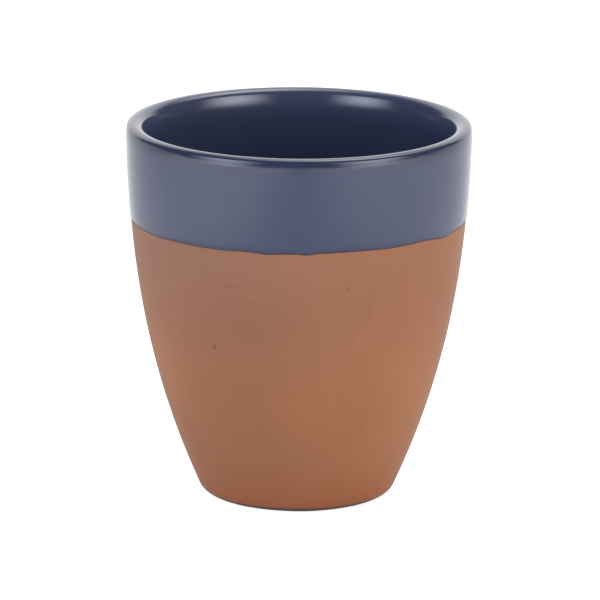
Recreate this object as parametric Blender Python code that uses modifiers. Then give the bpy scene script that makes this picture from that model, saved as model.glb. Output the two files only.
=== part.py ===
"""Espresso cup without a handle: a bare terracotta body, lined and rim-dipped in navy glaze.

The cup stands on z = 0 with its axis on +Z. Lengths are in metres.
"""

import math

import bmesh
import bpy

MM = 0.001

# Clay body: outer shape
CLAY_HEIGHT = 65.35 * MM
RIM_RADIUS = 29.85 * MM  # outer wall, carried up to the top of the lip
FOOT_RADIUS = 16.4 * MM  # outer wall, carried down to the table
RIM_TAPER = 1.4 * MM  # how far the wall leans in over its height, apart from its curve
BELLY_POWER = 2.39  # how late the wall curves in: higher keeps it upright for longer
FOOT_ROUND = 2.65 * MM

# Clay body: lip, as rounds in turn from the outer wall; directions are angles from outward
SHOULDER_ROUND = 9.0 * MM  # eases the wall's last stretch inwards
SHOULDER_TURN = math.radians(12.0)
LIP_ROUND = 0.5 * MM  # the outer edge
CROWN_ROUND = 2.0 * MM  # the top
CROWN_START = math.radians(68.0)
CROWN_END = math.radians(124.0)
LIP_INNER_ROUND = 0.9 * MM
FLARE_ROUND = 7.5 * MM  # the gentle run into the inner wall

# Clay body: thickness
RIM_THICKNESS = 3.1 * MM
LIP_SHARE = 0.96  # most of the rim's thickness that the rounds may take up before the flare
WALL_BASE_THICKNESS = 3.4 * MM
FLOOR_THICKNESS = 3.2 * MM
FLOOR_FILLET = 7.0 * MM

# Underside: a ring to stand on, round a shallow recess
FOOT_RING_WIDTH = 3.4 * MM
RECESS_DEPTH = 0.8 * MM
RECESS_SLOPE_WIDTH = 1.6 * MM

# Glaze coats
GLAZE_THICKNESS = 0.12 * MM
BOND_GAP = 0.03 * MM  # hairline between a coat and what it is fused to
SEAM_DEPTH = 6.0 * MM  # where the two coats meet inside, below the top of the clay
DIP_LINE_HEIGHT = 49.2 * MM
EDGE_THICKNESS = 0.05 * MM
FEATHER_LENGTH = 1.2 * MM  # stretch above the dip line over which the coat thins

# The dip line wavers: waves round the cup, amplitude, and phase in degrees
DIP_WAVES = ((1, 0.17 * MM, 100.0), (4, 0.075 * MM, -15.0), (7, 0.045 * MM, 170.0), (11, 0.045 * MM, -145.0))
WAVER_FADE = 8.0 * MM  # height above the dip line at which the wavering has died out

# Facets
STEPS_AROUND = 64
WALL_STEPS = 12
LINING_STEPS = 7
SEAM_STEPS = 1
BAND_STEPS = 3
SHOULDER_STEPS = 2
LIP_FALL_STEPS = 2
CROWN_STEPS = 2
LIP_RISE_STEPS = 2
FLARE_STEPS = 2
FILLET_STEPS = 5
RECESS_STEPS = 3
FEATHER_STEPS = 3

# Colours, in linear RGB, and finish
TERRACOTTA_COLOUR = (0.355, 0.138, 0.070, 1.0)
TERRACOTTA_ROUGHNESS = 0.88
NAVY_COLOUR = (0.034, 0.044, 0.103, 1.0)
NAVY_ROUGHNESS = 0.16


def mix(start, end, share):
    return start + (end - start) * share


def spread(start, end, count):
    """The values from start to end, both included, in count equal steps."""
    return [mix(start, end, i / count) for i in range(count + 1)]


def solve(function, low, high):
    """The root of a function that rises through zero between low and high."""
    for _ in range(60):
        middle = (low + high) / 2
        if function(middle) > 0:
            high = middle
        else:
            low = middle
    return (low + high) / 2


def arc(centre, radius, start, end, steps):
    """Points on an arc of the profile; angles run anticlockwise from outward."""
    return [
        (centre[0] + radius * math.cos(angle), centre[1] + radius * math.sin(angle))
        for angle in spread(start, end, steps)
    ]


# Outer wall. Profile points are (radius, height) pairs.

WALL_CURVE = RIM_RADIUS - FOOT_RADIUS - RIM_TAPER


def wall_radius(z):
    """Radius of the clay's outer wall: a straight lean, and a curve that gathers towards the foot."""
    depth = max(0.0, 1 - z / CLAY_HEIGHT)
    return RIM_RADIUS - RIM_TAPER * depth - WALL_CURVE * depth ** BELLY_POWER


def wall_lean(z):
    """Angle of the outer wall from upright."""
    depth = max(0.0, 1 - z / CLAY_HEIGHT)
    return math.atan((RIM_TAPER + BELLY_POWER * WALL_CURVE * depth ** (BELLY_POWER - 1)) / CLAY_HEIGHT)


def wall_point(z, inward=0.0):
    """Point of the outer wall at height z, or one that lies square inside it."""
    lean = wall_lean(z)
    return (wall_radius(z) - inward * math.cos(lean), z + inward * math.sin(lean))


# Lip: shoulder, outer edge, crown, inner edge and flare

def lip_width():
    """Width that the lip's rounds take up if the wall below them has no flare."""
    lean = wall_lean(CLAY_HEIGHT)
    return (
        SHOULDER_ROUND * (1 - math.cos(SHOULDER_TURN))
        + LIP_ROUND * (math.cos(SHOULDER_TURN) - math.cos(CROWN_START + lean))
        + CROWN_ROUND * (math.cos(CROWN_START + lean) - math.cos(CROWN_END + lean))
        + LIP_INNER_ROUND * (1 + math.cos(CROWN_END + lean))
    )


# On a thin rim the rounds shrink together so that they fit
LIP_FIT = min(1.0, LIP_SHARE * RIM_THICKNESS / lip_width())
SHOULDER_RADIUS = LIP_FIT * SHOULDER_ROUND
EDGE_RADIUS = LIP_FIT * LIP_ROUND
CROWN_RADIUS = LIP_FIT * CROWN_ROUND
INNER_EDGE_RADIUS = LIP_FIT * LIP_INNER_ROUND


def lip_rise(z):
    """Height of the lip above the outer wall's end at height z."""
    shoulder_end = SHOULDER_TURN - wall_lean(z)
    return (
        SHOULDER_RADIUS * (math.sin(shoulder_end) + math.sin(wall_lean(z)))
        + EDGE_RADIUS * (math.sin(CROWN_START) - math.sin(shoulder_end))
        + CROWN_RADIUS * (1 - math.sin(CROWN_START))
    )


WALL_TOP = solve(lambda z: z + lip_rise(z) - CLAY_HEIGHT, 0.0, CLAY_HEIGHT)
LIP_LEAN = wall_lean(WALL_TOP)
FLARE_TURN = math.acos((
    SHOULDER_RADIUS * (1 - math.cos(SHOULDER_TURN))
    + EDGE_RADIUS * (math.cos(SHOULDER_TURN) - math.cos(CROWN_START + LIP_LEAN))
    + CROWN_RADIUS * (math.cos(CROWN_START + LIP_LEAN) - math.cos(CROWN_END + LIP_LEAN))
    + INNER_EDGE_RADIUS * math.cos(CROWN_END + LIP_LEAN)
    + FLARE_ROUND - RIM_THICKNESS
) / (FLARE_ROUND - INNER_EDGE_RADIUS))


def add_arc(path, radius, start, end, steps):
    """Carries a path on along an arc that faces outwards from start to end."""
    centre = (path[-1][0] - radius * math.cos(start), path[-1][1] - radius * math.sin(start))
    path.extend(arc(centre, radius, start, end, steps)[1:])


def lip_profile():
    """The lip, from the foot of the flare inside, over the crown, to the outer wall."""
    shoulder_end = SHOULDER_TURN - LIP_LEAN
    inner_wall = math.pi - LIP_LEAN
    path = [wall_point(WALL_TOP)]
    add_arc(path, SHOULDER_RADIUS, -LIP_LEAN, shoulder_end, SHOULDER_STEPS)
    add_arc(path, EDGE_RADIUS, shoulder_end, CROWN_START, LIP_FALL_STEPS)
    add_arc(path, CROWN_RADIUS, CROWN_START, math.pi / 2, CROWN_STEPS)
    add_arc(path, CROWN_RADIUS, math.pi / 2, CROWN_END, CROWN_STEPS)
    add_arc(path, INNER_EDGE_RADIUS, CROWN_END, inner_wall - FLARE_TURN, LIP_RISE_STEPS)
    add_arc(path, FLARE_ROUND, inner_wall - FLARE_TURN, inner_wall, FLARE_STEPS)
    return path[::-1]


FLARE_FOOT = solve(lambda z: wall_point(z, RIM_THICKNESS)[1] - lip_profile()[0][1], 0.0, CLAY_HEIGHT)


# Inside: floor, fillet and inner wall

FLOOR_HEIGHT = RECESS_DEPTH + FLOOR_THICKNESS


def inner_point(z):
    """Point of the inner wall that lies square inside the outer wall's point at height z."""
    return wall_point(z, mix(WALL_BASE_THICKNESS, RIM_THICKNESS, z / FLARE_FOOT))


def inner_lean(z):
    """Angle of the inner wall from upright."""
    step = 0.001 * CLAY_HEIGHT
    low = inner_point(z - step)
    high = inner_point(z + step)
    return math.atan2(high[0] - low[0], high[1] - low[1])


def fillet_centre(z):
    """Centre of the floor fillet that touches the inner wall at inner_point(z)."""
    radius, height = inner_point(z)
    lean = inner_lean(z)
    return (radius - FLOOR_FILLET * math.cos(lean), height + FLOOR_FILLET * math.sin(lean))


def level_inside(height):
    """The z whose inner_point lies at a given height."""
    return solve(lambda z: inner_point(z)[1] - height, 0.0, WALL_TOP)


INNER_FOOT = solve(lambda z: fillet_centre(z)[1] - FLOOR_FILLET - FLOOR_HEIGHT, 0.0, WALL_TOP)
SEAM_LEVEL = level_inside(CLAY_HEIGHT - SEAM_DEPTH)


def lining_profile():
    """The inside, from the middle of the floor up to the seam between the two coats."""
    fillet = arc(
        fillet_centre(INNER_FOOT), FLOOR_FILLET, -math.pi / 2, -inner_lean(INNER_FOOT), FILLET_STEPS
    )
    wall = [inner_point(z) for z in spread(INNER_FOOT, SEAM_LEVEL, LINING_STEPS)]
    return [(0.0, FLOOR_HEIGHT)] + fillet + wall[1:]


def seam_profile(start):
    """The inner wall from a level near the seam up to the foot of the flare."""
    return [inner_point(z) for z in spread(start, FLARE_FOOT, SEAM_STEPS)]


# Foot

FOOT_TOP = solve(lambda z: wall_point(z, FOOT_ROUND)[1] - FOOT_ROUND, 0.0, CLAY_HEIGHT)
RING_OUTER_RADIUS = wall_point(FOOT_TOP, FOOT_ROUND)[0]
RING_INNER_RADIUS = RING_OUTER_RADIUS - FOOT_RING_WIDTH


def foot_profile():
    """The foot, from the outer wall round to the ring, then up the recess and in to the axis."""
    corner = arc(
        wall_point(FOOT_TOP, FOOT_ROUND), FOOT_ROUND, -wall_lean(FOOT_TOP), -math.pi / 2, FILLET_STEPS
    )
    slope = []
    for share in spread(0.0, 1.0, RECESS_STEPS):
        rise = (1 - math.cos(math.pi * share)) / 2
        slope.append((RING_INNER_RADIUS - RECESS_SLOPE_WIDTH * share, RECESS_DEPTH * rise))
    return corner + slope + [(0.0, RECESS_DEPTH)]


# Glaze coats

def offset_path(path, distances):
    """A path with each point moved to the left, square to the path, by its own distance."""
    runs = list(zip(path, path[1:]))
    moved = []
    for i, (radius, height) in enumerate(path):
        normals = []
        for start, end in runs[max(0, i - 1):i + 1]:
            run = (end[0] - start[0], end[1] - start[1])
            length = math.hypot(*run)
            normals.append((-run[1] / length, run[0] / length))
        left = [sum(part) / len(normals) for part in zip(*normals)]
        reach = distances[i] / (left[0] ** 2 + left[1] ** 2)
        moved.append((radius + left[0] * reach, height + left[1] * reach))
    return moved


def coat_profile(path, thicknesses):
    """Section of a coat on a path: along its free face, then back along its bonded face."""
    free = offset_path(path, [BOND_GAP + thickness for thickness in thicknesses])
    bonded = offset_path(path, [BOND_GAP] * len(path))
    return free + bonded[::-1]


def dip_edge_levels():
    """Heights on the outer wall from the full coat down to the dip line, closer at the edge."""
    turns = spread(0.0, math.pi / 2, FEATHER_STEPS)
    return [DIP_LINE_HEIGHT + FEATHER_LENGTH * (1 - math.sin(turn)) for turn in turns]


def edge_thickness(z):
    """The coat's thickness near the dip line: full, then rounded off to its edge."""
    share = (z - DIP_LINE_HEIGHT) / FEATHER_LENGTH
    return mix(EDGE_THICKNESS, GLAZE_THICKNESS, math.sqrt(max(0.0, 1 - (1 - share) ** 2)))


def band_profile():
    """Section of the dipped coat, from the seam inside, over the lip, to the dip line."""
    edge = dip_edge_levels()
    over_lip = seam_profile(SEAM_LEVEL + BOND_GAP)[:-1] + lip_profile()
    outside = [wall_point(z) for z in spread(WALL_TOP, edge[0], BAND_STEPS)]
    path = over_lip + outside[1:] + [wall_point(z) for z in edge[1:]]
    full = [GLAZE_THICKNESS] * (len(path) - FEATHER_STEPS)
    return coat_profile(path, full + [edge_thickness(z) for z in edge[1:]])


def dip_waver(angle):
    """How far the dip line runs above its mean height at an angle round the cup."""
    return sum(size * math.sin(count * angle + math.radians(phase)) for count, size, phase in DIP_WAVES)


# Blender objects

def new_collection(name):
    collection = bpy.data.collections.new(name)
    bpy.context.scene.collection.children.link(collection)
    return collection


def new_material(name, colour, roughness):
    material = bpy.data.materials.new(name)
    material.use_nodes = True
    shader = material.node_tree.nodes["Principled BSDF"]
    shader.inputs["Base Color"].default_value = colour
    shader.inputs["Roughness"].default_value = roughness
    shader.inputs["Metallic"].default_value = 0.0
    material.diffuse_color = colour
    return material


def turned(name, profile, closed, material, collection):
    """A body turned about the Z axis from a profile, closed on itself or open at the axis."""
    mesh = bpy.data.meshes.new(name)
    shape = bmesh.new()
    points = [shape.verts.new((radius, 0.0, height)) for radius, height in profile]
    following = points[1:] + points[:1] if closed else points[1:]
    for start, end in zip(points, following):
        shape.edges.new((start, end))
    shape.to_mesh(mesh)
    shape.free()
    mesh.materials.append(material)
    body = bpy.data.objects.new(name, mesh)
    collection.objects.link(body)
    screw = body.modifiers.new("turn", "SCREW")
    screw.axis = "Z"
    screw.angle = math.tau
    screw.steps = STEPS_AROUND
    screw.render_steps = STEPS_AROUND
    screw.use_smooth_shade = True
    screw.use_merge_vertices = True
    screw.merge_threshold = 0.001 * MM
    return body


def apply_modifiers(body):
    """Replaces a body's mesh by the one that its modifiers make."""
    bpy.context.view_layer.update()
    evaluated = body.evaluated_get(bpy.context.evaluated_depsgraph_get())
    profile = body.data
    body.data = bpy.data.meshes.new_from_object(evaluated)
    body.modifiers.clear()
    bpy.data.meshes.remove(profile)


def waver_dip_line(band):
    """Slides the band's lower stretch up or down the clay's wall, so that the dip line wavers."""
    for vertex in band.data.vertices:
        x, y, z = vertex.co
        share = min(1.0, max(0.0, 1 - (z - DIP_LINE_HEIGHT) / WAVER_FADE))
        weight = share * share * (3 - 2 * share)
        new_z = z + weight * dip_waver(math.atan2(y, x))
        radius = math.hypot(x, y)
        scale = 1 + (wall_radius(new_z) - wall_radius(z)) / radius
        vertex.co = (x * scale, y * scale, new_z)


def build_clay_body(material, collection):
    inside = lining_profile() + seam_profile(SEAM_LEVEL)[1:]
    outside = [wall_point(z) for z in spread(WALL_TOP, FOOT_TOP, WALL_STEPS)]
    profile = inside[:-1] + lip_profile() + outside[1:-1] + foot_profile()
    turned("clay_body", profile, False, material, collection)


def build_lining_glaze(material, collection):
    path = lining_profile()
    profile = coat_profile(path, [GLAZE_THICKNESS] * len(path))
    turned("lining_glaze", profile, False, material, collection)


def build_dipped_band_glaze(material, collection):
    band = turned("dipped_band_glaze", band_profile(), True, material, collection)
    apply_modifiers(band)
    waver_dip_line(band)


def main():
    for item in list(bpy.data.objects):
        bpy.data.objects.remove(item, do_unlink=True)
    cup = new_collection("espresso_cup")
    build_clay_body(new_material("terracotta", TERRACOTTA_COLOUR, TERRACOTTA_ROUGHNESS), cup)
    build_lining_glaze(new_material("navy_lining", NAVY_COLOUR, NAVY_ROUGHNESS), cup)
    build_dipped_band_glaze(new_material("navy_dip", NAVY_COLOUR, NAVY_ROUGHNESS), cup)


main()
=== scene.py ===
"""Looks of the espresso cup: fine clay and glaze meshes, their finishes, the camera and the studio."""

import math
import random

import bmesh
import bpy
from mathutils import Matrix, Vector


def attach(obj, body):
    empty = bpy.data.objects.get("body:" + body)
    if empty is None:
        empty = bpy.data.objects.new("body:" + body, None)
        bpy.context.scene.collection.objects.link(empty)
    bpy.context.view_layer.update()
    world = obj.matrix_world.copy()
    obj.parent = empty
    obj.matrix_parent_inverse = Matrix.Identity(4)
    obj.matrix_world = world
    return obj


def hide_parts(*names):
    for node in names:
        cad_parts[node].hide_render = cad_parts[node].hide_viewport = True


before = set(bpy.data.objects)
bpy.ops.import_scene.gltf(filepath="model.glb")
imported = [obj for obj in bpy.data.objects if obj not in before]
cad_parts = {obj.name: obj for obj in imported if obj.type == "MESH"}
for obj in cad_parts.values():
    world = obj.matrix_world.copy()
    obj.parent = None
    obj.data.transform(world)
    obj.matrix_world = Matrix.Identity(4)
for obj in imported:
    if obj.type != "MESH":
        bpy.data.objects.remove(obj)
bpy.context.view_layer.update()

MM = 0.001

# The cup's sizes, as in the solids
CLAY_HEIGHT = 65.35 * MM
RIM_RADIUS = 29.85 * MM
FOOT_RADIUS = 16.4 * MM
RIM_TAPER = 1.4 * MM
BELLY_POWER = 2.39
FOOT_ROUND = 2.65 * MM
SHOULDER_ROUND = 9.0 * MM
SHOULDER_TURN = math.radians(12.0)
LIP_ROUND = 0.5 * MM
CROWN_ROUND = 2.0 * MM
CROWN_START = math.radians(68.0)
CROWN_END = math.radians(124.0)
LIP_INNER_ROUND = 0.9 * MM
FLARE_ROUND = 7.5 * MM
RIM_THICKNESS = 3.1 * MM
WALL_BASE_THICKNESS = 3.4 * MM
FLOOR_HEIGHT = 4.0 * MM
FLOOR_FILLET = 7.0 * MM
FOOT_RING_WIDTH = 3.4 * MM
RECESS_DEPTH = 0.8 * MM
RECESS_SLOPE_WIDTH = 1.6 * MM
GLAZE_THICKNESS = 0.12 * MM
BOND_GAP = 0.03 * MM
SEAM_DEPTH = 6.0 * MM
SEAM_GAP = 0.002 * MM
DIP_LINE_HEIGHT = 49.2 * MM
EDGE_THICKNESS = 0.05 * MM
FEATHER_LENGTH = 1.2 * MM

# Waves of the dip line: their number round the cup, amplitude, phase in degrees
DIP_WAVES = (
    (1, 0.17 * MM, 100.0),
    (4, 0.075 * MM, -15.0),
    (7, 0.045 * MM, 170.0),
    (11, 0.045 * MM, -145.0),
    (16, 0.03 * MM, 75.0),
)
# Single runs of glaze below it: angle round the cup and width in degrees, drop
DIP_RUNS = (
    (-148.0, 13.0, 0.17 * MM),
    (-115.0, 4.0, 0.1 * MM),
    (-100.5, 2.8, 0.16 * MM),
    (-87.0, 2.2, 0.24 * MM),
    (-60.0, 16.0, 0.16 * MM),
    (-32.0, 5.5, 0.32 * MM),
    (-18.0, 6.0, 0.2 * MM),
    (62.0, 2.2, 0.13 * MM),
)
WAVER_FADE = 8.0 * MM  # the height above the dip line over which the wavering dies out
EDGE_LINE_WIDTH = 0.42 * MM  # the dark line along the glaze's lower edge

# Pits in the clay: angle round the cup in degrees, height, half width, half tallness, depth
CLAY_PITS = (
    (-122.0, 31.1 * MM, 0.34 * MM, 0.62 * MM, 0.22 * MM),
    (-73.0, 42.7 * MM, 0.26 * MM, 0.46 * MM, 0.14 * MM),
)
PIT_PAINTED_SHADE = -0.45  # painted shade in a pit
PIT_REACH = 2.2  # how far a pit's patch of finer mesh goes, in its larger half size
PIT_STEEPNESS = 2.5

# More pits on the sides and the back, each drawn at random from these ranges
HIDDEN_PITS = 9
PIT_SEED = 11
HIDDEN_PIT_ANGLES = (-20.0, 200.0)  # in degrees
HIDDEN_PIT_HEIGHTS = (10.0, 46.0)  # in millimetres
HIDDEN_PIT_WIDTHS = (0.22, 0.4)  # half widths in millimetres
HIDDEN_PIT_TALLNESS = (1.0, 1.8)  # as shares of the half width
HIDDEN_PIT_DEPTHS = (0.4, 0.6)  # as shares of the half width

# Lines that the wheel and the fingers left in the clay: angle round the cup in degrees, height, half
# length, half width, slope in degrees, and how much lighter or darker they are
CLAY_LINES = (
    (-113.7, 42.7 * MM, 6.6 * MM, 0.26 * MM, 0.0, -0.12),
    (-109.5, 41.2 * MM, 7.2 * MM, 0.26 * MM, 0.0, 0.11),
    (-102.0, 42.0 * MM, 3.8 * MM, 0.22 * MM, 0.0, -0.09),
    (-119.9, 44.1 * MM, 3.0 * MM, 0.24 * MM, 0.0, -0.08),
    (-141.0, 34.6 * MM, 3.2 * MM, 0.3 * MM, 0.0, 0.08),
    (-142.0, 32.2 * MM, 3.2 * MM, 0.3 * MM, 0.0, 0.08),
    (-123.0, 41.6 * MM, 4.6 * MM, 0.24 * MM, 4.0, -0.08),
    (-147.0, 33.3 * MM, 3.6 * MM, 0.26 * MM, 4.0, -0.07),
    (-141.8, 31.0 * MM, 3.8 * MM, 0.28 * MM, 3.0, -0.08),
    (-63.9, 40.1 * MM, 4.4 * MM, 0.3 * MM, 90.0, -0.11),
    (-64.5, 37.0 * MM, 3.4 * MM, 0.26 * MM, 82.0, -0.08),
    (-61.8, 38.2 * MM, 2.0 * MM, 0.3 * MM, 90.0, 0.06),
    (-58.8, 38.2 * MM, 2.4 * MM, 0.3 * MM, 94.0, 0.06),
    (-67.3, 33.4 * MM, 3.8 * MM, 0.36 * MM, 68.0, 0.11),
    (-69.5, 30.7 * MM, 1.4 * MM, 0.3 * MM, 86.0, -0.08),
)
# Broad soft patches of painted light and shade, darker at the front and lighter to the right and the left,
# given in the same way
PAINTED_LIGHT_PATCHES = (
    (-104.0, 37.0 * MM, 21.0 * MM, 12.0 * MM, 0.0, -0.1),
    (-38.0, 25.0 * MM, 17.0 * MM, 18.0 * MM, 0.0, 0.1),
    (-154.0, 25.5 * MM, 12.0 * MM, 12.0 * MM, 0.0, 0.1),
)
MARK_RADIUS = 28.0 * MM  # turns angles into lengths along the wall

# Mesh fineness
STEPS_AROUND = 256
WALL_STEPS = 92
LINING_STEPS = 44
SEAM_STEPS = 5
BAND_STEPS = 30
SHOULDER_STEPS = 8
CROWN_STEPS = 5
FLARE_STEPS = 10
LIP_RISE_STEPS = 8
LIP_FALL_STEPS = 14
FILLET_STEPS = 12
RECESS_STEPS = 8
FEATHER_STEPS = 12
PIT_CUTS = 3
MERGE_DISTANCE = 0.0001 * MM
SHARP_ANGLE = math.radians(40)
HALVINGS = 60  # of the range in which a root is looked for
LEAN_STEP = 0.001 * CLAY_HEIGHT  # the height to both sides over which a lean is taken

# Camera: a long lens from a little above, read from the outline, the rim and the dip line
IMAGE_PIXELS = 600
FOCAL_PIXELS = 5947.0
SENSOR_WIDTH = 36.0
CAMERA_DISTANCE = 1034.3 * MM
CAMERA_ELEVATION = math.radians(14.25)
CAMERA_ROLL = math.radians(0.42)
VIEW_CENTRE = Vector((0.36 * MM, 0.0, 33.83 * MM))


def mix(start, end, share):
    return start + (end - start) * share


def spread(start, end, count):
    """The values from start to end, both included, in count equal steps."""
    return [mix(start, end, i / count) for i in range(count + 1)]


def solve(function, low, high):
    """The root of a function that rises through zero between low and high."""
    for _ in range(HALVINGS):
        middle = (low + high) / 2
        if function(middle) > 0:
            high = middle
        else:
            low = middle
    return (low + high) / 2


def ease(share):
    """0 to 1 with a soft start and end."""
    share = min(1.0, max(0.0, share))
    return share * share * (3 - 2 * share)


def arc(centre, radius, start, end, steps):
    """Points on an arc of the profile; angles run anticlockwise from outward."""
    return [
        (centre[0] + radius * math.cos(angle), centre[1] + radius * math.sin(angle))
        for angle in spread(start, end, steps)
    ]


# Profile of the clay, as (radius, height) points

WALL_CURVE = RIM_RADIUS - FOOT_RADIUS - RIM_TAPER


def wall_radius(z):
    depth = max(0.0, 1 - z / CLAY_HEIGHT)
    return RIM_RADIUS - RIM_TAPER * depth - WALL_CURVE * depth ** BELLY_POWER


def wall_lean(z):
    """How far the outer wall leans outward at height z, from upright."""
    depth = max(0.0, 1 - z / CLAY_HEIGHT)
    return math.atan((RIM_TAPER + BELLY_POWER * WALL_CURVE * depth ** (BELLY_POWER - 1)) / CLAY_HEIGHT)


def wall_point(z, inward=0.0):
    """Point of the outer wall at height z, or one that lies square inside it."""
    lean = wall_lean(z)
    return (wall_radius(z) - inward * math.cos(lean), z + inward * math.sin(lean))


def lip_rise(z):
    """Height of the lip above the outer wall's end at height z."""
    lean = wall_lean(z)
    shoulder = SHOULDER_ROUND * (math.sin(SHOULDER_TURN - lean) + math.sin(lean))
    outer = LIP_ROUND * (math.sin(CROWN_START) - math.sin(SHOULDER_TURN - lean))
    return shoulder + outer + CROWN_ROUND * (1 - math.sin(CROWN_START))


WALL_TOP = solve(lambda z: z + lip_rise(z) - CLAY_HEIGHT, 0.0, CLAY_HEIGHT)
LIP_LEAN = wall_lean(WALL_TOP)
# The turn of the flare that brings the arcs of the lip to the wall's thickness there
FLARE_TURN = math.acos((
    SHOULDER_ROUND * (1 - math.cos(SHOULDER_TURN))
    + LIP_ROUND * (math.cos(SHOULDER_TURN) - math.cos(CROWN_START + LIP_LEAN))
    + CROWN_ROUND * (math.cos(CROWN_START + LIP_LEAN) - math.cos(CROWN_END + LIP_LEAN))
    + LIP_INNER_ROUND * math.cos(CROWN_END + LIP_LEAN)
    + FLARE_ROUND - RIM_THICKNESS
) / (FLARE_ROUND - LIP_INNER_ROUND))


def add_arc(path, radius, start, end, steps):
    """Carries a path on along an arc; the angles are those of the square to the path."""
    centre = (path[-1][0] - radius * math.cos(start), path[-1][1] - radius * math.sin(start))
    path.extend(arc(centre, radius, start, end, steps)[1:])


def lip_profile():
    """The lip, from the foot of the flare inside, over the crown, to the outer wall."""
    shoulder_end = SHOULDER_TURN - LIP_LEAN
    inner_wall = math.pi - LIP_LEAN
    path = [wall_point(WALL_TOP)]
    add_arc(path, SHOULDER_ROUND, -LIP_LEAN, shoulder_end, SHOULDER_STEPS)
    add_arc(path, LIP_ROUND, shoulder_end, CROWN_START, LIP_FALL_STEPS)
    add_arc(path, CROWN_ROUND, CROWN_START, math.pi / 2, CROWN_STEPS)
    add_arc(path, CROWN_ROUND, math.pi / 2, CROWN_END, CROWN_STEPS)
    add_arc(path, LIP_INNER_ROUND, CROWN_END, inner_wall - FLARE_TURN, LIP_RISE_STEPS)
    add_arc(path, FLARE_ROUND, inner_wall - FLARE_TURN, inner_wall, FLARE_STEPS)
    return path[::-1]


FLARE_FOOT = solve(lambda z: wall_point(z, RIM_THICKNESS)[1] - lip_profile()[0][1], 0.0, CLAY_HEIGHT)


def inner_point(z):
    """Point of the inner wall that lies square inside the outer wall's point at height z."""
    return wall_point(z, mix(WALL_BASE_THICKNESS, RIM_THICKNESS, z / FLARE_FOOT))


def inner_lean(z):
    """How far the inner wall leans outward at inner_point(z), from upright."""
    low = inner_point(z - LEAN_STEP)
    high = inner_point(z + LEAN_STEP)
    return math.atan2(high[0] - low[0], high[1] - low[1])


def fillet_centre(z):
    """Centre of the floor fillet that touches the inner wall at inner_point(z)."""
    radius, height = inner_point(z)
    lean = inner_lean(z)
    return (radius - FLOOR_FILLET * math.cos(lean), height + FLOOR_FILLET * math.sin(lean))


INNER_FOOT = solve(lambda z: fillet_centre(z)[1] - FLOOR_FILLET - FLOOR_HEIGHT, 0.0, WALL_TOP)
SEAM_LEVEL = solve(lambda z: inner_point(z)[1] - (CLAY_HEIGHT - SEAM_DEPTH), 0.0, WALL_TOP)
FOOT_TOP = solve(lambda z: wall_point(z, FOOT_ROUND)[1] - FOOT_ROUND, 0.0, CLAY_HEIGHT)
RING_INNER_RADIUS = wall_point(FOOT_TOP, FOOT_ROUND)[0] - FOOT_RING_WIDTH


def lining_profile():
    """The inside, from the middle of the floor up to the seam between the two coats."""
    centre = fillet_centre(INNER_FOOT)
    floor = [(radius, FLOOR_HEIGHT) for radius in spread(0.0, centre[0], FILLET_STEPS)]
    fillet = arc(centre, FLOOR_FILLET, -math.pi / 2, -inner_lean(INNER_FOOT), FILLET_STEPS)
    wall = [inner_point(z) for z in spread(INNER_FOOT, SEAM_LEVEL, LINING_STEPS)]
    return floor + fillet[1:] + wall[1:]


def seam_profile(start):
    """The inner wall from a level near the seam up to the foot of the flare."""
    return [inner_point(z) for z in spread(start, FLARE_FOOT, SEAM_STEPS)]


def foot_profile():
    """The foot, from the outer wall round to the ring, then up the recess and in to the axis."""
    corner = arc(
        wall_point(FOOT_TOP, FOOT_ROUND), FOOT_ROUND, -wall_lean(FOOT_TOP), -math.pi / 2, FILLET_STEPS
    )
    slope = []
    for share in spread(0.0, 1.0, RECESS_STEPS):
        rise = (1 - math.cos(math.pi * share)) / 2
        slope.append((RING_INNER_RADIUS - RECESS_SLOPE_WIDTH * share, RECESS_DEPTH * rise))
    return corner + slope + [(0.0, RECESS_DEPTH)]


# Sections of the two coats

def offset_path(path, distances):
    """A path with each point moved to the left, square to the path, by its own distance."""
    runs = list(zip(path, path[1:]))
    moved = []
    for i, (radius, height) in enumerate(path):
        normals = []
        for start, end in runs[max(0, i - 1):i + 1]:
            run = (end[0] - start[0], end[1] - start[1])
            length = math.hypot(*run)
            normals.append((-run[1] / length, run[0] / length))
        left = [sum(part) / len(normals) for part in zip(*normals)]
        reach = distances[i] / (left[0] ** 2 + left[1] ** 2)
        moved.append((radius + left[0] * reach, height + left[1] * reach))
    return moved


def coat_profile(path, thicknesses):
    """Section of a coat on a path: along its free face, then back along its bonded face."""
    free = offset_path(path, [BOND_GAP + thickness for thickness in thicknesses])
    bonded = offset_path(path, [BOND_GAP] * len(path))
    return free + bonded[::-1]


def edge_thickness(z):
    """The coat's thickness near the dip line: full, then rounded off to its edge."""
    share = (z - DIP_LINE_HEIGHT) / FEATHER_LENGTH
    return mix(EDGE_THICKNESS, GLAZE_THICKNESS, math.sqrt(max(0.0, 1 - (1 - share) ** 2)))


def band_profile():
    """Section of the dipped coat, from the seam inside, over the lip, to the dip line."""
    turns = spread(0.0, math.pi / 2, FEATHER_STEPS)
    edge = [DIP_LINE_HEIGHT + FEATHER_LENGTH * (1 - math.sin(turn)) for turn in turns]
    over_lip = seam_profile(SEAM_LEVEL + SEAM_GAP)[:-1] + lip_profile()
    outside = [wall_point(z) for z in spread(WALL_TOP, edge[0], BAND_STEPS)]
    path = over_lip + outside[1:] + [wall_point(z) for z in edge[1:]]
    full = [GLAZE_THICKNESS] * (len(path) - FEATHER_STEPS)
    return coat_profile(path, full + [edge_thickness(z) for z in edge[1:]])


# Meshes

def linked(name, data):
    """A new object in the scene."""
    new = bpy.data.objects.new(name, data)
    bpy.context.scene.collection.objects.link(new)
    return new


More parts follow.
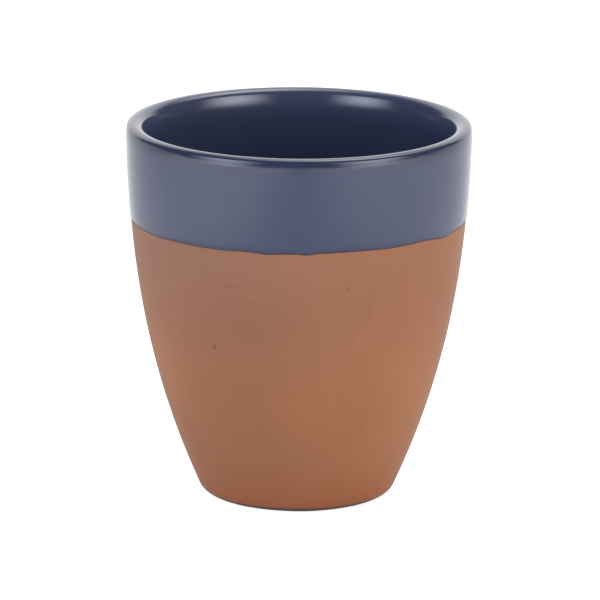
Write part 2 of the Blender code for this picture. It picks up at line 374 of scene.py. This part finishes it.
def profile_wire(name, profile, closed):
    """A mesh of edges along a profile, closed on itself or open at the axis."""
    wire = bpy.data.meshes.new(name)
    shape = bmesh.new()
    points = [shape.verts.new((radius, 0.0, height)) for radius, height in profile]
    following = points[1:] + points[:1] if closed else points[1:]
    for start, end in zip(points, following):
        shape.edges.new((start, end))
    shape.to_mesh(wire)
    shape.free()
    return wire


def turned(name, profile, closed):
    """A smooth body turned about the Z axis from a profile, closed on itself or open at the axis."""
    wire = profile_wire(name + "_profile", profile, closed)
    body = linked(name, wire)
    screw = body.modifiers.new("turn", "SCREW")
    screw.axis = "Z"
    screw.angle = math.tau
    screw.steps = STEPS_AROUND
    screw.render_steps = STEPS_AROUND
    screw.use_smooth_shade = True
    screw.use_merge_vertices = True
    screw.merge_threshold = MERGE_DISTANCE
    bpy.context.view_layer.update()
    evaluated = body.evaluated_get(bpy.context.evaluated_depsgraph_get())
    body.data = bpy.data.meshes.new_from_object(evaluated)
    body.data.name = name
    body.modifiers.clear()
    bpy.data.meshes.remove(wire)
    body.data.set_sharp_from_angle(angle=SHARP_ANGLE)
    return body


def angle_between(first, second):
    """Signed difference of two angles in degrees, from -180 to 180."""
    return (first - second + 180.0) % 360.0 - 180.0


def dip_waver(angle):
    """How far the dip line runs above its mean height at an angle round the cup, in radians."""
    height = sum(size * math.sin(count * angle + math.radians(phase)) for count, size, phase in DIP_WAVES)
    for place, width, drop in DIP_RUNS:
        height -= drop * math.exp(-(angle_between(math.degrees(angle), place) / width) ** 2)
    return height


def waver_dip_line(band):
    """Slides the band's lower stretch along the wall, and marks the dark line along its lower edge."""
    edge = band.data.attributes.new("edge", "FLOAT", "POINT")
    for vertex in band.data.vertices:
        x, y, z = vertex.co
        edge.data[vertex.index].value = ease(1 - (z - DIP_LINE_HEIGHT) / EDGE_LINE_WIDTH)
        new_z = z + ease(1 - (z - DIP_LINE_HEIGHT) / WAVER_FADE) * dip_waver(math.atan2(y, x))
        scale = 1 + (wall_radius(new_z) - wall_radius(z)) / math.hypot(x, y)
        vertex.co = (x * scale, y * scale, new_z)


def all_pits():
    """The pits that the photo shows, and a few of the same kind on the other sides."""
    draw = random.Random(PIT_SEED)
    pits = list(CLAY_PITS)
    for _ in range(HIDDEN_PITS):
        angle = draw.uniform(*HIDDEN_PIT_ANGLES)
        height = draw.uniform(*HIDDEN_PIT_HEIGHTS) * MM
        width = draw.uniform(*HIDDEN_PIT_WIDTHS) * MM
        tallness = width * draw.uniform(*HIDDEN_PIT_TALLNESS)
        depth = width * draw.uniform(*HIDDEN_PIT_DEPTHS)
        pits.append((angle, height, width, tallness, depth))
    return pits


def press_pit(shape, angle, height, width, tallness, depth):
    """Presses one pit into the clay's outer wall, in a patch that is first made finer."""
    turn = math.radians(angle)
    radius = wall_radius(height)
    centre = Vector((radius * math.cos(turn), radius * math.sin(turn), height))
    outward = Vector((math.cos(turn), math.sin(turn), 0.0))
    sideways = Vector((-math.sin(turn), math.cos(turn), 0.0))
    reach = PIT_REACH * max(width, tallness)
    patch = [edge for edge in shape.edges if all((v.co - centre).length < reach for v in edge.verts)]
    bmesh.ops.subdivide_edges(shape, edges=patch, cuts=PIT_CUTS, use_grid_fill=True)
    for vertex in shape.verts:
        away = vertex.co - centre
        if away.length > reach:
            continue
        share = (away.dot(sideways) / width) ** 2 + (away.z / tallness) ** 2
        vertex.co -= outward * depth * math.exp(-PIT_STEEPNESS * share)


def build_clay():
    inside = lining_profile() + seam_profile(SEAM_LEVEL)[1:]
    outside = [wall_point(z) for z in spread(WALL_TOP, FOOT_TOP, WALL_STEPS)]
    clay = turned("terracotta_body", inside[:-1] + lip_profile() + outside[1:-1] + foot_profile(), False)
    shape = bmesh.new()
    shape.from_mesh(clay.data)
    for pit in all_pits():
        press_pit(shape, *pit)
    shape.to_mesh(clay.data)
    shape.free()
    return clay


def build_lining():
    path = lining_profile()
    return turned("inside_glaze", coat_profile(path, [GLAZE_THICKNESS] * len(path)), False)


def build_band():
    band = turned("rim_glaze", band_profile(), True)
    waver_dip_line(band)
    return band


# Materials

class Nodes:
    """A short way to add and join the nodes of one material, world or lamp."""

    def __init__(self, owner):
        owner.use_nodes = True
        self.tree = owner.node_tree
        self.tree.nodes.clear()

    def add(self, kind, settings=(), **inputs):
        node = self.tree.nodes.new("ShaderNode" + kind)
        for name, value in dict(settings).items():
            setattr(node, name, value)
        for name, value in inputs.items():
            self.set(node, name.replace("_", " "), value)
        return node

    def set(self, node, name, value):
        """Sets or joins an input, which is named or, where names repeat, numbered."""
        socket = node.inputs[int(name)] if name.isdigit() else node.inputs[name]
        if isinstance(value, bpy.types.NodeSocket):
            self.tree.links.new(value, socket)
        else:
            socket.default_value = value


def ramp(nodes, value, low, high, start=0.0, end=1.0):
    """A value stretched so that low becomes start and high becomes end, and held there beyond them."""
    node = nodes.add("MapRange", Value=value, From_Min=low, From_Max=high, To_Min=start, To_Max=end)
    return node.outputs["Result"]


def smooth_ramp(nodes, value, low, high, start=0.0, end=1.0):
    """The same with a soft start and end."""
    node = nodes.add(
        "MapRange", {"interpolation_type": "SMOOTHSTEP"},
        Value=value, From_Min=low, From_Max=high, To_Min=start, To_Max=end,
    )
    return node.outputs["Result"]


def calculate(nodes, operation, *values):
    """The result of a Math node."""
    node = nodes.add("Math", {"operation": operation})
    for index, value in enumerate(values):
        nodes.set(node, str(index), value)
    return node.outputs[0]


def distance_from_axis(nodes, across, along):
    along_squared = calculate(nodes, "MULTIPLY", along, along)
    squared = calculate(nodes, "MULTIPLY_ADD", across, across, along_squared)
    return calculate(nodes, "POWER", squared, 0.5)


def blend_colours(nodes, share, first, second):
    """From the first colour to the second; the Mix node has colours at inputs 6 and 7 and output 2."""
    node = nodes.add("Mix", {"data_type": "RGBA"})
    nodes.set(node, "Factor", share)
    nodes.set(node, "6", first)
    nodes.set(node, "7", second)
    return node.outputs[2]


def noise(nodes, place, scale, detail, roughness):
    node = nodes.add("TexNoise", Vector=place, Scale=scale, Detail=detail, Roughness=roughness)
    return node.outputs["Fac"]


def colour(red, green, blue):
    return (red, green, blue, 1.0)


# Noises in the clay and the glaze: scale, detail, roughness
CLAY_CLOUDS = (42.0, 3.0, 0.5)
CLAY_GRAIN = (2600.0, 2.0, 0.6)
CLAY_RINGS = (1.0, 2.0, 0.6)
RING_STRETCH = (12.0, 12.0, 900.0)  # draws the noise of the rings out into level lines
GLAZE_POOLING = (70.0, 2.0, 0.5)
GLAZE_RIPPLE = (420.0, 1.0, 0.4)
NOISE_RANGE = (0.3, 0.7)  # where most values of a noise lie
GRAIN_RANGE = (0.25, 0.75)

# Clay; a pair of heights or radii says where something sets in and where it is complete
TERRACOTTA_PALE = colour(0.359, 0.141, 0.060)
TERRACOTTA_DEEP = colour(0.316, 0.120, 0.0505)
TERRACOTTA_GREY = colour(0.294, 0.135, 0.081)  # a greyer tone that grows towards the top and is strongest on the left
TERRACOTTA_FOOT = colour(0.350, 0.1085, 0.0385)  # a redder, deeper tone towards the foot
FOOT_CONTACT_SHADE = colour(0.048, 0.013, 0.004)  # painted contact shade along the edge that it stands on
GREY_SIDE_REACH = 24 * MM  # from the axis to the left, where the grey is strongest, and to the right
GREY_RIGHT_SHARE = 0.35  # share of the grey tone on the right
GREY_HEIGHTS = (22 * MM, 46 * MM)
FOOT_TONE_HEIGHTS = (10 * MM, 0.5 * MM)
FOOT_SHADE_HEIGHTS = (1.05 * MM, 0.62 * MM)
FOOT_SHADE_RADII = (14.7 * MM, 15.1 * MM)
GRAIN_SHADES = (0.95, 1.05)
CLAY_ROUGHNESS = (0.82, 0.92)
RING_RELIEF = 0.35  # height of the throwing rings as a share of the grain's
CLAY_BUMP = 0.12
CLAY_BUMP_DEPTH = 0.1 * MM
SHEEN = 0.22  # the dusty skin of unglazed clay
SHEEN_ROUGHNESS = 0.4

# Glaze
NAVY = colour(0.034, 0.0455, 0.096)
NAVY_DEEP = colour(0.0305, 0.040, 0.088)
INSIDE_SHADE_NAVY = colour(0.026, 0.034, 0.060)  # the inside, darker: painted shade inside the cup
INSIDE_SHADE_SHARE = 0.62  # how far the inside takes on that painted shade
INSIDE_LIT_NAVY = colour(0.0435, 0.0515, 0.095)  # the inside near the lip, lighter: painted light where the lamps reach in over the rim
INSIDE_LIT_HEIGHTS = (60.0 * MM, 64.5 * MM)
UNDER_LIP_DARK_NAVY = colour(0.026, 0.033, 0.066)  # the outside of the lip, darker: a painted dark reflection
UNDER_LIP_DARK_HEIGHTS = (62.6 * MM, 64.2 * MM)
OUTSIDE_RADII = (28.3 * MM, 29.2 * MM)  # across the lip, from its inner to its outer side
EDGE_BROWN = colour(0.030, 0.018, 0.020)  # the dark line along the glaze's lower edge
EDGE_ROUGHNESS = 0.7
GLAZE_ROUGHNESS = (0.08, 0.12)
LINING_ROUGHNESS = 0.22  # of the inner side just below the lip
DULL_HEIGHTS = (55.0 * MM, 62.5 * MM)
POLISHED_HEIGHTS = (63.1 * MM, 64.9 * MM)  # above the dull stretch the lip is glossy again
GLAZE_IOR = 1.52
GLAZE_BUMP = 0.05
GLAZE_BUMP_DEPTH = 0.05 * MM


def clay_marks(nodes, place):
    """How much lighter or darker the clay is at its lines, with painted light and shade in its patches and
    painted shade in its pits.
    """
    across, along, height = nodes.add("SeparateXYZ", Vector=place).outputs
    length = calculate(nodes, "MULTIPLY", calculate(nodes, "ARCTAN2", along, across), MARK_RADIUS)
    unrolled = nodes.add("CombineXYZ", X=length, Y=height).outputs["Vector"]
    # Pits take painted shade
    pits = [(angle, z, width, tallness, 0.0, PIT_PAINTED_SHADE) for angle, z, width, tallness, _ in all_pits()]
    total = 0.0
    for angle, z, half_length, half_width, slope, shade in (*CLAY_LINES, *PAINTED_LIGHT_PATCHES, *pits):
        oval = nodes.add("Mapping", {"vector_type": "TEXTURE"}, Vector=unrolled)
        nodes.set(oval, "Location", (math.radians(angle_between(angle, 0.0)) * MARK_RADIUS, z, 0.0))
        nodes.set(oval, "Rotation", (0.0, 0.0, math.radians(slope)))
        nodes.set(oval, "Scale", (half_length, half_width, 1.0))
        fade = nodes.add("TexGradient", {"gradient_type": "SPHERICAL"}, Vector=oval.outputs["Vector"])
        soft = smooth_ramp(nodes, fade.outputs["Fac"], 0.0, 1.0, 0.0, shade)
        total = calculate(nodes, "ADD", soft, total)
    return total


def terracotta_colour(nodes, place, clouds, grain):
    """The clay's colour: cloudy, greyer towards the top and the left, redder at the foot, with painted
    shade along the edge it stands on, grainy and marked.
    """
    across, along, height = nodes.add("SeparateXYZ", Vector=place).outputs
    cloudy = blend_colours(nodes, ramp(nodes, clouds, *NOISE_RANGE), TERRACOTTA_DEEP, TERRACOTTA_PALE)
    side = smooth_ramp(nodes, across, GREY_SIDE_REACH, -GREY_SIDE_REACH, GREY_RIGHT_SHARE, 1.0)
    greying = calculate(nodes, "MULTIPLY", side, ramp(nodes, height, *GREY_HEIGHTS))
    greyed = blend_colours(nodes, greying, cloudy, TERRACOTTA_GREY)
    foot_toned = blend_colours(nodes, ramp(nodes, height, *FOOT_TONE_HEIGHTS), greyed, TERRACOTTA_FOOT)
    # Painted contact shade along the edge the cup stands on
    low = smooth_ramp(nodes, height, *FOOT_SHADE_HEIGHTS)
    outer = smooth_ramp(nodes, distance_from_axis(nodes, across, along), *FOOT_SHADE_RADII)
    foot_shaded = blend_colours(nodes, calculate(nodes, "MULTIPLY", low, outer), foot_toned, FOOT_CONTACT_SHADE)
    grains = ramp(nodes, grain, *GRAIN_RANGE, *GRAIN_SHADES)
    value = calculate(nodes, "ADD", grains, clay_marks(nodes, place))
    return nodes.add("HueSaturation", Color=foot_shaded, Value=value).outputs["Color"]


def terracotta_material():
    material = bpy.data.materials.new("bare_terracotta")
    nodes = Nodes(material)
    place = nodes.add("TexCoord").outputs["Object"]
    clouds = noise(nodes, place, *CLAY_CLOUDS)
    grain = noise(nodes, place, *CLAY_GRAIN)
    stretched = nodes.add("Mapping", Vector=place, Scale=RING_STRETCH).outputs["Vector"]
    rings = noise(nodes, stretched, *CLAY_RINGS)
    relief = calculate(nodes, "MULTIPLY_ADD", rings, RING_RELIEF, grain)
    bump = nodes.add("Bump", Height=relief, Strength=CLAY_BUMP, Distance=CLAY_BUMP_DEPTH)
    shader = nodes.add("BsdfPrincipled", Normal=bump.outputs["Normal"])
    nodes.set(shader, "Base Color", terracotta_colour(nodes, place, clouds, grain))
    nodes.set(shader, "Roughness", ramp(nodes, clouds, *NOISE_RANGE, *CLAY_ROUGHNESS))
    nodes.set(shader, "Sheen Weight", SHEEN)
    nodes.set(shader, "Sheen Roughness", SHEEN_ROUGHNESS)
    nodes.add("OutputMaterial", Surface=shader.outputs["BSDF"])
    return material


def inner_dullness(nodes, height):
    """Roughness that the inside adds below the lip, and none further down and on the crown."""
    sets_in = smooth_ramp(nodes, height, *DULL_HEIGHTS)
    ends = smooth_ramp(nodes, height, *POLISHED_HEIGHTS[::-1], 0.0, LINING_ROUGHNESS)
    return calculate(nodes, "MULTIPLY", ends, sets_in)


def glaze_material(name, edged):
    """Navy glaze of the inside or, when edged, of the band, which goes on over the lip to the dip line."""
    material = bpy.data.materials.new(name)
    nodes = Nodes(material)
    place = nodes.add("TexCoord").outputs["Object"]
    across, along, height = nodes.add("SeparateXYZ", Vector=place).outputs
    pooling = noise(nodes, place, *GLAZE_POOLING)
    outer_tone = blend_colours(nodes, ramp(nodes, pooling, *NOISE_RANGE), NAVY_DEEP, NAVY)
    # The inside's darker tone is painted shade
    inside_shaded = blend_colours(nodes, INSIDE_SHADE_SHARE, outer_tone, INSIDE_SHADE_NAVY)
    # Lighter towards the lip on the inside: painted light
    tone = blend_colours(nodes, smooth_ramp(nodes, height, *INSIDE_LIT_HEIGHTS), inside_shaded, INSIDE_LIT_NAVY)
    rough = ramp(nodes, pooling, *NOISE_RANGE, *GLAZE_ROUGHNESS)
    dull = inner_dullness(nodes, height)
    if edged:
        outside = smooth_ramp(nodes, distance_from_axis(nodes, across, along), *OUTSIDE_RADII)
        # Darker on the outside of the lip: a painted dark reflection
        under_lip_dark = blend_colours(nodes, smooth_ramp(nodes, height, *UNDER_LIP_DARK_HEIGHTS), outer_tone, UNDER_LIP_DARK_NAVY)
        edge = nodes.add("Attribute", {"attribute_name": "edge"}).outputs["Fac"]
        tone = blend_colours(nodes, edge, blend_colours(nodes, outside, tone, under_lip_dark), EDGE_BROWN)
        rough = calculate(nodes, "MAXIMUM", rough, ramp(nodes, edge, 0.0, 1.0, 0.0, EDGE_ROUGHNESS))
        dull = calculate(nodes, "MULTIPLY", dull, ramp(nodes, outside, 1.0, 0.0))
    ripple = noise(nodes, place, *GLAZE_RIPPLE)
    bump = nodes.add("Bump", Height=ripple, Strength=GLAZE_BUMP, Distance=GLAZE_BUMP_DEPTH)
    shader = nodes.add("BsdfPrincipled", Base_Color=tone, IOR=GLAZE_IOR, Normal=bump.outputs["Normal"])
    nodes.set(shader, "Roughness", calculate(nodes, "MAXIMUM", rough, dull))
    nodes.add("OutputMaterial", Surface=shader.outputs["BSDF"])
    return material


# Studio

FLOOR_HALF_WIDTH = 8.0
FLOOR_CELLS = 8
FLOOR_PALE = colour(0.55, 0.55, 0.55)
FLOOR_CAMERA_GLOW = 0.8  # makes the floor white to the camera
FLOOR_GLOW = 0.565  # what the glaze mirrors
FLOOR_LEFT_GLOW = 1.45  # painted light on both sides
FLOOR_RIGHT_GLOW = 1.2
FLOOR_SIDE_REACH = 0.16
FLOOR_NEAR_GLOW = 0.25  # share of the glow that is left close to the cup: painted shadow of the cup
FLOOR_NEAR_REACH = (70.0 * MM, 180.0 * MM)
CUP_CENTRE = (0.0, 0.0, 0.0)
CONTACT_CENTRE = (0.5 * MM, -4.0 * MM, 0.0)  # the painted contact shadow shows most in front
CONTACT_REACH = (10.55 * MM, 11.75 * MM)  # distance over which the glow sets in
WHITE = colour(1.0, 1.0, 1.0)
BACKDROP_SIDE = (0.0, 1.0, 0.0)  # the studio is white behind the cup and dark elsewhere
BACKDROP_RANGE = (0.55, 0.85)
BACKDROP_DARK = 0.06
BACKDROP_WHITE = 1.4
AMBIENT_ROUND = 0.15  # light that only matt surfaces take, besides the backdrop's: from everywhere
AMBIENT_LEFT = 1.2  # and from both sides
AMBIENT_RIGHT = 0.9
AMBIENT_SIDE_RANGE = (0.6, 0.95)
SOFTBOX_DISTANCE = 1.0
# Softboxes: name, degrees to the right of the camera, degrees up, width, height, radiance, colour, height
# of the brightest place as a share of the height, glow of the lower edge as a share of that place's
SOFTBOXES = (
    ("softbox_left", -49.5, 19.0, 1.1, 0.95, 6.2, (0.915, 0.985, 1.16), 0.5, 0.34),
    ("softbox_right", 50.5, 19.0, 1.25, 0.95, 6.75, (0.98, 1.0, 1.05), 0.5, 0.28),
    ("softbox_above", 152.0, 64.0, 1.2, 1.0, 5.5, (1.0, 1.0, 1.0), 0.5, 0.0),
)


def seen_directly(nodes):
    """Two shares: 1 for rays from the camera, a mirror or through glass, and 1 for the camera's alone."""
    path = nodes.add("LightPath").outputs
    mirrored = calculate(nodes, "MAXIMUM", path["Is Glossy Ray"], path["Is Transmission Ray"])
    return calculate(nodes, "MAXIMUM", path["Is Camera Ray"], mirrored), path["Is Camera Ray"]


def distance(nodes, place, centre):
    """How far a place is from a fixed point."""
    node = nodes.add("VectorMath", {"operation": "DISTANCE"})
    nodes.set(node, "0", place)
    nodes.set(node, "1", centre)
    return node.outputs["Value"]


def floor_glow(nodes, camera):
    """The floor's glow: painted light strongest on both sides of the cup, painted shadow of the cup near
    it, and none where the cup touches it.
    """
    place = nodes.add("TexCoord").outputs["Object"]
    across, along, _ = nodes.add("SeparateXYZ", Vector=place).outputs
    left = smooth_ramp(nodes, across, 0.0, -FLOOR_SIDE_REACH, 0.0, FLOOR_LEFT_GLOW - FLOOR_GLOW)
    right = smooth_ramp(nodes, across, 0.0, FLOOR_SIDE_REACH, 0.0, FLOOR_RIGHT_GLOW - FLOOR_GLOW)
    before = smooth_ramp(nodes, along, FLOOR_SIDE_REACH, -FLOOR_SIDE_REACH)
    lit = calculate(nodes, "MULTIPLY_ADD", calculate(nodes, "ADD", left, right), before, FLOOR_GLOW)
    off_cup = distance(nodes, place, CUP_CENTRE)
    near = smooth_ramp(nodes, off_cup, *FLOOR_NEAR_REACH, FLOOR_NEAR_GLOW, 1.0)
    mirrored = calculate(nodes, "MULTIPLY", near, lit)
    glow = calculate(nodes, "MAXIMUM", mirrored, calculate(nodes, "MULTIPLY", camera, FLOOR_CAMERA_GLOW))
    contact = smooth_ramp(nodes, distance(nodes, place, CONTACT_CENTRE), *CONTACT_REACH)
    return calculate(nodes, "MULTIPLY", glow, contact)


def floor_material():
    """White floor: matt, with a glow that only direct views and mirrors see."""
    material = bpy.data.materials.new("white_floor")
    nodes = Nodes(material)
    direct, camera = seen_directly(nodes)
    matt = nodes.add("BsdfDiffuse", Color=FLOOR_PALE).outputs["BSDF"]
    glow = nodes.add("Emission", Strength=floor_glow(nodes, camera)).outputs["Emission"]
    bright = nodes.add("AddShader")
    nodes.set(bright, "0", matt)
    nodes.set(bright, "1", glow)
    choice = nodes.add("MixShader", Fac=direct)
    nodes.set(choice, "1", matt)
    nodes.set(choice, "2", bright.outputs[0])
    nodes.add("OutputMaterial", Surface=choice.outputs[0])
    material.cycles.emission_sampling = "NONE"
    return material


def build_floor():
    mesh = bpy.data.meshes.new("floor")
    shape = bmesh.new()
    bmesh.ops.create_grid(shape, x_segments=FLOOR_CELLS, y_segments=FLOOR_CELLS, size=FLOOR_HALF_WIDTH)
    shape.to_mesh(mesh)
    shape.free()
    floor = linked("floor", mesh)
    mesh.materials.append(floor_material())


def build_world():
    """The studio around: the backdrop that is seen and mirrored, and softer light for matt surfaces."""
    world = bpy.data.worlds.new("studio")
    bpy.context.scene.world = world
    nodes = Nodes(world)
    direct, camera = seen_directly(nodes)
    towards = nodes.add("TexCoord").outputs["Generated"]
    side = nodes.add("VectorMath", {"operation": "DOT_PRODUCT"})
    nodes.set(side, "0", towards)
    nodes.set(side, "1", BACKDROP_SIDE)
    level = smooth_ramp(nodes, side.outputs["Value"], *BACKDROP_RANGE, BACKDROP_DARK, BACKDROP_WHITE)
    rightward = nodes.add("SeparateXYZ", Vector=towards).outputs["X"]
    leftward = calculate(nodes, "MULTIPLY", rightward, -1.0)
    fill = calculate(
        nodes, "ADD",
        smooth_ramp(nodes, leftward, *AMBIENT_SIDE_RANGE, AMBIENT_ROUND, AMBIENT_ROUND + AMBIENT_LEFT),
        smooth_ramp(nodes, rightward, *AMBIENT_SIDE_RANGE, 0.0, AMBIENT_RIGHT),
    )
    ambient = nodes.add("Background", Color=WHITE, Strength=calculate(nodes, "ADD", level, fill))
    seen = nodes.add("Background", Color=WHITE, Strength=calculate(nodes, "MAXIMUM", level, camera))
    choice = nodes.add("MixShader", Fac=direct)
    nodes.set(choice, "1", ambient.outputs[0])
    nodes.set(choice, "2", seen.outputs[0])
    nodes.add("OutputWorld", Surface=choice.outputs[0])
    world.cycles.sampling_method = "NONE"


def soften(lamp, crest_height, foot_glow):
    """Lets a softbox glow most at one height and fade out to its edges."""
    nodes = Nodes(lamp)
    place = nodes.add("SeparateXYZ", Vector=nodes.add("NewGeometry").outputs["Parametric"])
    glow = 1.0
    for way, start, crest, least in (
        (place.outputs["X"], 0.0, 0.5, 0.0),
        (place.outputs["X"], 1.0, 0.5, 0.0),
        (place.outputs["Y"], 0.0, crest_height, foot_glow),
        (place.outputs["Y"], 1.0, crest_height, 0.0),
    ):
        glow = calculate(nodes, "MULTIPLY", glow, smooth_ramp(nodes, way, start, crest, least, 1.0))
    emission = nodes.add("Emission", Strength=glow)
    nodes.add("OutputLight", Surface=emission.outputs["Emission"])


def build_softbox(name, azimuth, elevation, width, height, radiance, tint, crest_height, foot_glow):
    """A rectangular lamp aimed at the cup."""
    lamp = bpy.data.lights.new(name, "AREA")
    lamp.shape = "RECTANGLE"
    lamp.size = width
    lamp.size_y = height
    lamp.energy = radiance * math.pi * width * height
    lamp.color = tint
    soften(lamp, crest_height, foot_glow)
    softbox = linked(name, lamp)
    turn = math.radians(azimuth)
    rise = math.radians(elevation)
    towards = Vector((math.sin(turn) * math.cos(rise), -math.cos(turn) * math.cos(rise), math.sin(rise)))
    softbox.location = VIEW_CENTRE + towards * SOFTBOX_DISTANCE
    softbox.rotation_euler = (-towards).to_track_quat("-Z", "Y").to_euler()


def build_camera():
    data = bpy.data.cameras.new("camera")
    data.sensor_width = SENSOR_WIDTH
    data.lens = FOCAL_PIXELS / IMAGE_PIXELS * SENSOR_WIDTH
    camera = linked("camera", data)
    ahead = Vector((0.0, math.cos(CAMERA_ELEVATION), -math.sin(CAMERA_ELEVATION)))
    aim = ahead.to_track_quat("-Z", "Y").to_matrix().to_4x4()
    place = Matrix.Translation(VIEW_CENTRE - ahead * CAMERA_DISTANCE)
    camera.matrix_world = place @ aim @ Matrix.Rotation(CAMERA_ROLL, 4, "Z")
    bpy.context.scene.camera = camera


def dress(piece, node, material):
    """Puts a piece in place of a CAD node, with its finish."""
    piece.data.materials.clear()
    piece.data.materials.append(material)
    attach(piece, "root")
    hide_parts(node)


bpy.context.scene.view_settings.view_transform = "Standard"
dress(build_clay(), "clay_body", terracotta_material())
dress(build_lining(), "lining_glaze", glaze_material("inside_navy", False))
dress(build_band(), "dipped_band_glaze", glaze_material("rim_navy", True))
build_floor()
build_world()
for softbox in SOFTBOXES:
    build_softbox(*softbox)
build_camera()
